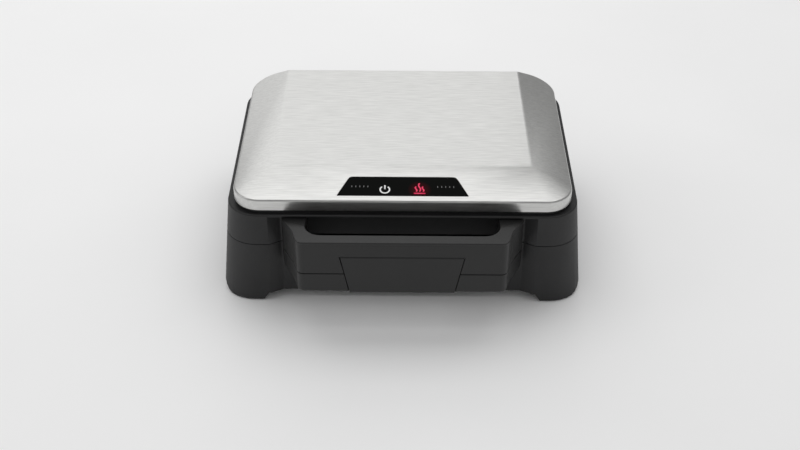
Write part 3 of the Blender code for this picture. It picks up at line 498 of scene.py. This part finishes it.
# %% [markdown]
# ## The lid cover's faces
#
# The real cover is pressed from one sheet: a flat top, facets that fall away to the front and the
# sides, and a short skirt. The convex hull of its lower outline, its edge and its flat top makes all
# of those faces at once, and the front corners come out as smooth fans. The hull's underside goes,
# because the sheet is open there. A face is taken as level where its normal's z is over a half.

# %% Shape the cover's faces
TOP_HALF_WIDTH = 98 * MM
FRONT_FACET = 36 * MM
LEVEL_SHARE = 0.5
SORTING_LINE = Vector((1.0, 0.37, 0.11))


def edge_height(x, y):
    """The height of the cover's edge: level at the front, and along the side facets further back."""
    if y < (lid_front + lid_back) / 2:
        return plate_edge
    past_crease = max(abs(x) - TOP_HALF_WIDTH, 0)
    return lid_top - FACET_RISE * past_crease / (lid_half_width - TOP_HALF_WIDTH)


def make_cover_surface():
    shape = plan(cover_corners, cover_low.z)
    for rim in shape.verts[:]:
        shape.verts.new((rim.co.x, rim.co.y, edge_height(rim.co.x, rim.co.y)))
    for x in (-TOP_HALF_WIDTH, TOP_HALF_WIDTH):
        shape.verts.new((x, lid_front + FRONT_FACET, lid_top))
        shape.verts.new((x, lid_back, lid_top))
    bmesh.ops.delete(shape, geom=shape.faces[:], context="FACES_ONLY")
    bmesh.ops.convex_hull(shape, input=shape.verts)
    underside = [face for face in shape.faces if face.normal.z < -LEVEL_SHARE]
    bmesh.ops.delete(shape, geom=underside, context="FACES")
    bmesh.ops.dissolve_limit(shape, angle_limit=FLAT_TURN, verts=shape.verts, edges=shape.edges)
    return shape


def make_window_cutter():
    """A block through the cover, from the window's outline up."""
    shape = plan(window_corners, cover_low.z)
    raised = bmesh.ops.extrude_face_region(shape, geom=shape.faces[:])["geom"]
    lifted = [item for item in raised if isinstance(item, bmesh.types.BMVert)]
    bmesh.ops.translate(shape, verts=lifted, vec=(0, 0, 2 * (lid_top - cover_low.z)))
    # An extrusion makes its sides in no fixed order, so they are sorted along a slanted line.
    shape.faces.sort(key=lambda face: face.calc_center_median() @ SORTING_LINE)
    bmesh.ops.recalc_face_normals(shape, faces=shape.faces)
    return shape


print("front facet:", round(math.degrees(math.atan(FACET_RISE / FRONT_FACET)), 1), "degrees")

# %% [markdown]
# ## The lid cover's sheet
#
# A press tool can't fold a sharp crease, so the Bevel modifier gives each crease a small radius.
# Solidify gives the sheet its thickness, and a Boolean cuts the window. Their result is kept as the
# mesh, because the brushing follows the sheet, and so its UV map is laid on the final faces.

# %% Press, cut and unwrap the cover
SHEET = 0.6 * MM
PRESS_RADIUS = 1.3 * MM
PRESS_STEPS = 4
PRESS_CREASE = math.radians(9)
SHEET_EDGE_TURN = math.radians(32)


def settle(piece):
    """Applies a piece's modifiers, so that what follows works on its final faces."""
    graph = bpy.context.evaluated_depsgraph_get()
    final = bpy.data.meshes.new_from_object(piece.evaluated_get(graph))
    piece.modifiers.clear()
    piece.data = final


def unwrap_for_brushing(mesh):
    """A UV map whose U runs along the brushing, on the top, the facets and the skirts."""
    layer = mesh.uv_layers.new(name="brushing")
    for face in mesh.polygons:
        normal = face.normal
        for corner in face.loop_indices:
            x, y, z = mesh.vertices[mesh.loops[corner].vertex_index].co
            if abs(normal.z) > LEVEL_SHARE:
                layer.data[corner].uv = (x, y)
            elif abs(normal.y) > abs(normal.x):
                layer.data[corner].uv = (x, z)
            else:
                layer.data[corner].uv = (y, z)


def make_cover():
    cover = new_piece("lid_cover_pressing", make_cover_surface(), brushed_steel)
    soften(cover, PRESS_RADIUS, steps=PRESS_STEPS, turn=PRESS_CREASE)
    cutter = new_piece("window_cutter", make_window_cutter(), brushed_steel)
    sheet = cover.modifiers.new("sheet", "SOLIDIFY")
    sheet.thickness = SHEET
    sheet.offset = -1
    window = cover.modifiers.new("window", "BOOLEAN")
    window.object = cutter
    window.solver = "EXACT"
    settle(cover)
    bpy.data.objects.remove(cutter)
    unwrap_for_brushing(cover.data)
    cover.data.shade_smooth()
    cover.data.set_sharp_from_angle(angle=SHEET_EDGE_TURN)
    shade_by_area(cover)
    return stand_for(cover, "lid", "lid_cover", slot=slot_of("lid_cover"))


cover = make_cover()
print("lid cover:", len(cover.data.polygons), "faces")

# %% [markdown]
# ## The mouldings
#
# The two housings, the two handle halves, the flap, the floor and the cord's bush are injection
# moulded. A mould's edges are rounded by a few tenths of a millimetre, so that the plastic flows and
# the part comes out clean. The handle is held in the hand, so its edges are the roundest.

# %% Dress the mouldings
for name, finish, width in (
    ("base_housing", matt_abs, 0.35 * MM),
    ("lid_housing", matt_abs, 0.35 * MM),
    ("upper_handle", satin_nylon, 0.5 * MM),
    ("lower_handle", satin_nylon, 0.5 * MM),
    ("latch_flap", satin_nylon, 0.35 * MM),
    ("base_floor", matt_abs, 0.3 * MM),
    ("cord_gland", matt_abs, 0.4 * MM),
):
    piece = softened_part(name, finish, width)
    print(piece.name, len(piece.data.polygons), "faces before rounding")

# %% [markdown]
# ## The control panel
#
# The panel is a smoked acrylic lens, polished and almost black, that lies along the front facet. On
# the real panel an LED lights the heat mark red from behind, and a little of its light spreads inside
# the lens. Here that light is a painted glow: the mark and the lens round it emit red themselves, and
# no lamp lies behind them. The lens shows almost no shine in the soft light, so its gloss is turned
# down.

# %% Dress the control panel
POWER_X = -13.4 * MM
HEAT_X = 12.6 * MM
MARKS_FROM_FRONT = 11.2 * MM
LENS_EDGE = 0.15 * MM
LENS_GLOSS = 0.02
LENS_ROUGHNESS = (0.05, 0.1)
HAZE_CLOUD = 12 * MM
# How far and how bright the painted glow on the lens reaches round the heat mark.
PAINTED_GLOW_RADIUS = 9 * MM
PAINTED_GLOW_STRENGTH = 0.12
facet_slope = FACET_RISE / FRONT_FACET
facet_tilt = Matrix.Rotation(math.atan(facet_slope), 4, "X")
facet_normal = facet_tilt @ Vector((0, 0, 1))


def on_panel(x, lift):
    """A place on the panel's face, at a height above it, turned to lie along the facet."""
    start = Vector((x, lid_front + MARKS_FROM_FRONT, plate_edge + facet_slope * MARKS_FROM_FRONT))
    return Matrix.Translation(start + facet_normal * lift) @ facet_tilt


def make_smoked_acrylic_with_painted_glow():
    finish, tree, shader = start_finish(
        "smoked_acrylic", Base_Color=linear("#0A0B0A"), Specular_IOR_Level=LENS_GLOSS, IOR=1.49
    )
    rough = add_node(tree, "ShaderNodeMapRange", {
        "Value": grain(tree, HAZE_CLOUD), "From Min": NOISE_LOW, "From Max": NOISE_HIGH,
        "To Min": LENS_ROUGHNESS[0], "To Max": LENS_ROUGHNESS[1],
    })
    # Painted glow: the lens emits red of its own round the heat mark, fading out with distance from
    # it.
    where = add_node(tree, "ShaderNodeTexCoord")
    apart = add_node(tree, "ShaderNodeVectorMath", {
        0: where.outputs["Object"], 1: on_panel(HEAT_X, 0).translation,
    }, operation="DISTANCE")
    painted_glow = add_node(tree, "ShaderNodeMapRange", {
        "Value": apart.outputs["Value"], "From Min": 0.0, "From Max": PAINTED_GLOW_RADIUS,
        "To Min": PAINTED_GLOW_STRENGTH, "To Max": 0.0,
    })
    shader.inputs["Emission Color"].default_value = linear("#B01030")
    tree.links.new(rough.outputs["Result"], shader.inputs["Roughness"])
    tree.links.new(painted_glow.outputs["Result"], shader.inputs["Emission Strength"])
    return finish


lens = softened_part("control_panel", make_smoked_acrylic_with_painted_glow(), LENS_EDGE)
print("panel lens:", len(lens.data.polygons), "faces before rounding")

# %% [markdown]
# ### Strokes
#
# The marks are printed in thick ink, and each of them is a set of strokes. A stroke is a curve with
# a round section that is turned into a mesh and then pressed flat onto the panel.

# %% Make strokes
STROKE_HEIGHT_SHARE = 0.04
STROKE_ROUNDNESS = 3
PRINT_LIFT = 0.21 * MM
WAVE_STEPS = 16


def arc(radius, start, end, steps):
    """Points on a circle, from one turn to another."""
    turns = [start + (end - start) * step / steps for step in range(steps + 1)]
    return [(radius * math.cos(turn), radius * math.sin(turn)) for turn in turns]


def wave(x, low, high, sway):
    """Points on an upright wave, one full swing from its foot to its top."""
    heights = [low + (high - low) * step / WAVE_STEPS for step in range(WAVE_STEPS + 1)]
    turns = [2 * math.pi * step / WAVE_STEPS for step in range(WAVE_STEPS + 1)]
    return [(x + sway * math.sin(turn), y) for y, turn in zip(heights, turns)]


def strokes(name, lines, width, place, finish):
    """Flat strokes along lines of (x, y) points, as one piece that lies at a place."""
    curve = bpy.data.curves.new(name, "CURVE")
    curve.dimensions = "3D"
    curve.bevel_depth = width / 2
    curve.bevel_resolution = STROKE_ROUNDNESS
    curve.use_fill_caps = True
    for points in lines:
        spline = curve.splines.new("POLY")
        spline.points.add(len(points) - 1)
        for point, (x, y) in zip(spline.points, points):
            point.co = (x, y, 0, 1)
    holder = bpy.data.objects.new(name, curve)
    bpy.context.scene.collection.objects.link(holder)
    graph = bpy.context.evaluated_depsgraph_get()
    mesh = bpy.data.meshes.new_from_object(holder.evaluated_get(graph))
    bpy.data.objects.remove(holder)
    mesh.transform(place @ Matrix.Diagonal((1, 1, STROKE_HEIGHT_SHARE, 1)))
    shape = bmesh.new()
    shape.from_mesh(mesh)
    bmesh.ops.remove_doubles(shape, verts=shape.verts, dist=MERGE)
    bmesh.ops.recalc_face_normals(shape, faces=shape.faces)
    mark = new_piece(name, shape, finish)
    print(name, len(mark.data.polygons), "faces")
    return stand_for(mark, "lid", slot="panel_lens")


print("the ink lies", round(PRINT_LIFT / MM, 2), "mm above the facet")

# %% [markdown]
# ### The marks
#
# The power mark is an open ring with a bar, the heat mark is three waves over a bar, and a row of
# dots fills each end of the panel. Screen print is an even, chalky ink. Its grain is finer than
# 0.1 mm and is drawn 0.6 mm wide, so that it shows.

# %% Draw the marks
PRINT_GRAIN = 0.6 * MM
PRINT_ROUGHNESS = (0.4, 0.5)
white_print = make_mottled("white_screen_print", ("#DCDCDC", "#F0F0F0"), PRINT_GRAIN, PRINT_ROUGHNESS)
grey_print = make_mottled("grey_screen_print", ("#6A6A6A", "#787878"), PRINT_GRAIN, PRINT_ROUGHNESS)
# The heat mark's red print emits light of its own: a painted glow that stands in for the LED behind
# it.
painted_glow_print = make_mottled(
    "lit_red_print", ("#A81038", "#C2204C"), PRINT_GRAIN, PRINT_ROUGHNESS,
    Emission_Color=linear("#E02050"), Emission_Strength=0.5,
)

RING_RADIUS = 3.5 * MM
RING_OPENING = math.radians(38)
RING_STEPS = 40
RING_STROKE = 1.15 * MM
BAR_FOOT = 0.1 * RING_RADIUS
BAR_TOP = 1.25 * RING_RADIUS
ring = arc(RING_RADIUS, math.pi / 2 + RING_OPENING, 5 * math.pi / 2 - RING_OPENING, RING_STEPS)
bar = [(0, BAR_FOOT), (0, BAR_TOP)]
strokes("power_mark", [ring, bar], RING_STROKE, on_panel(POWER_X, PRINT_LIFT), white_print)

WAVE_PITCH = 2.6 * MM
WAVE_FOOT = -1.8 * MM
HEAT_BASE_Y = -3.6 * MM
HEAT_BASE_HALF_WIDTH = 4.3 * MM
HEAT_STROKE = 1.1 * MM
waves = [
    wave(-WAVE_PITCH, WAVE_FOOT, 3.2 * MM, 0.6 * MM),
    wave(0, WAVE_FOOT, 6.6 * MM, 0.7 * MM),
    wave(WAVE_PITCH, WAVE_FOOT, 3.2 * MM, 0.6 * MM),
]
heat_base = [(-HEAT_BASE_HALF_WIDTH, HEAT_BASE_Y), (HEAT_BASE_HALF_WIDTH, HEAT_BASE_Y)]
strokes("heat_mark", [*waves, heat_base], HEAT_STROKE, on_panel(HEAT_X, PRINT_LIFT), painted_glow_print)

DOTS_X = 32.2 * MM
DOTS_RISE = 3.0 * MM
DOT_PITCH = 3.0 * MM
DOT_LENGTH = 0.6 * MM
DOT_STROKE = 1.7 * MM
middles = [DOT_PITCH * number for number in (-2, -1, 0, 1, 2)]
dots = [[(x - DOT_LENGTH / 2, DOTS_RISE), (x + DOT_LENGTH / 2, DOTS_RISE)] for x in middles]
strokes("left_dots", dots, DOT_STROKE, on_panel(-DOTS_X, PRINT_LIFT), grey_print)
strokes("right_dots", dots, DOT_STROKE, on_panel(DOTS_X, PRINT_LIFT), grey_print)

# %% [markdown]
# ## The cooking plates and the other parts
#
# The plates are cast and then coated, so their edges are rounder than those of the mouldings. The
# small parts keep their plain shapes, with a light rounding and the finish of their material.

# %% Dress everything else
finishes = {
    "non_stick_coating": (non_stick, 1.2 * MM),
    "zinc_plated_steel": (zinc_plate, 0.2 * MM),
    "reflector_sheet": (aluminised, 0.15 * MM),
    "element_sheath": (hot_sheath, 0.3 * MM),
    "pad_rubber": (silicone, 0.4 * MM),
    "terminal_ceramic": (steatite, 0.4 * MM),
    "board_laminate": (laminate, 0.1 * MM),
    "led_clear": (clear_resin, 0.3 * MM),
    "led_red": (red_resin, 0.3 * MM),
}
for name in sorted(frame["nodes"]):
    if name not in dressed:
        finish, width = finishes[slot_of(name)]
        softened_part(name, finish, width)
print("parts dressed:", len(dressed))

# %% [markdown]
# ## The floor
#
# The object stands on a sheet of pale paper, which is matt, so it shows a soft shadow and no shine.
# It reaches far behind the object, so that a low view still ends on it.

# %% Lay the floor
FLOOR_SIZE = 30.0
FLOOR_CLOUD = 0.25

floor_shape = bmesh.new()
bmesh.ops.create_grid(floor_shape, x_segments=1, y_segments=1, size=FLOOR_SIZE / 2)
paper = make_mottled("paper_sweep", ("#F2F2F2", "#F5F5F5"), FLOOR_CLOUD, (0.85, 0.95))
floor = new_piece("floor", floor_shape, paper)
print("floor:", FLOOR_SIZE, "m wide")

# %% [markdown]
# ## The room
#
# The room gives an even light from all sides, and the camera sees it as a pale wall. Metal shows what
# it mirrors, and in a room that is pale all round its facets would all look alike. So metal mirrors
# the room darker than it is, as it would with dark cloth hung round the set.

# %% Light the room
WALL = "#EBEBEB"
ROOM_LIGHT = 0.56
ROOM_IN_METAL = 0.3

world = bpy.data.worlds.new("studio")
bpy.context.scene.world = world
world.use_nodes = True
room = world.node_tree
around = room.nodes["Background"]
around.inputs["Color"].default_value = linear("#FFFFFF")
around.inputs["Strength"].default_value = ROOM_LIGHT
wall = add_node(room, "ShaderNodeBackground", {"Color": linear(WALL), "Strength": 1.0})
cloth = add_node(room, "ShaderNodeBackground", {
    "Color": linear("#FFFFFF"), "Strength": ROOM_IN_METAL,
})
path = add_node(room, "ShaderNodeLightPath")
in_metal = add_node(room, "ShaderNodeMixShader", {
    0: path.outputs["Is Glossy Ray"], 1: around.outputs[0], 2: cloth.outputs[0],
})
in_view = add_node(room, "ShaderNodeMixShader", {
    0: path.outputs["Is Camera Ray"], 1: in_metal.outputs[0], 2: wall.outputs[0],
})
room.links.new(in_view.outputs[0], room.nodes["World Output"].inputs["Surface"])
print("room:", len(room.nodes), "nodes")

# %% [markdown]
# ## The soft boxes
#
# A wide soft box behind the lid lights the flat top and the left facet. It ends before the part of
# the room that the right facet mirrors, which is why that facet is darker. One overhead lights the
# floor, and a small one fills the left side. The Standard view transform then shows each colour
# about as it is written.

# %% Hang the soft boxes
def add_soft_box(name, place, width, height, brightness):
    """An area lamp that faces the object; brightness is what a mirror would show of it."""
    lamp = bpy.data.lights.new(name, "AREA")
    lamp.shape = "RECTANGLE"
    lamp.size = width
    lamp.size_y = height
    lamp.energy = brightness * math.pi * width * height
    made = bpy.data.objects.new(name, lamp)
    bpy.context.scene.collection.objects.link(made)
    aim = Vector((0, 0, lid_top / 2)) - Vector(place)
    made.matrix_world = Matrix.Translation(place) @ aim.to_track_quat("-Z", "Y").to_matrix().to_4x4()
    print(name, round(aim.length, 2), "m from the object")


add_soft_box("back_box", (-0.2, 1.15, 0.85), width=1.08, height=0.9, brightness=0.86)
add_soft_box("overhead_box", (0.0, 0.25, 1.5), width=1.9, height=1.2, brightness=1.18)
add_soft_box("left_box", (-1.4, -0.2, 0.8), width=0.9, height=0.9, brightness=0.7)
bpy.context.scene.view_settings.view_transform = "Standard"
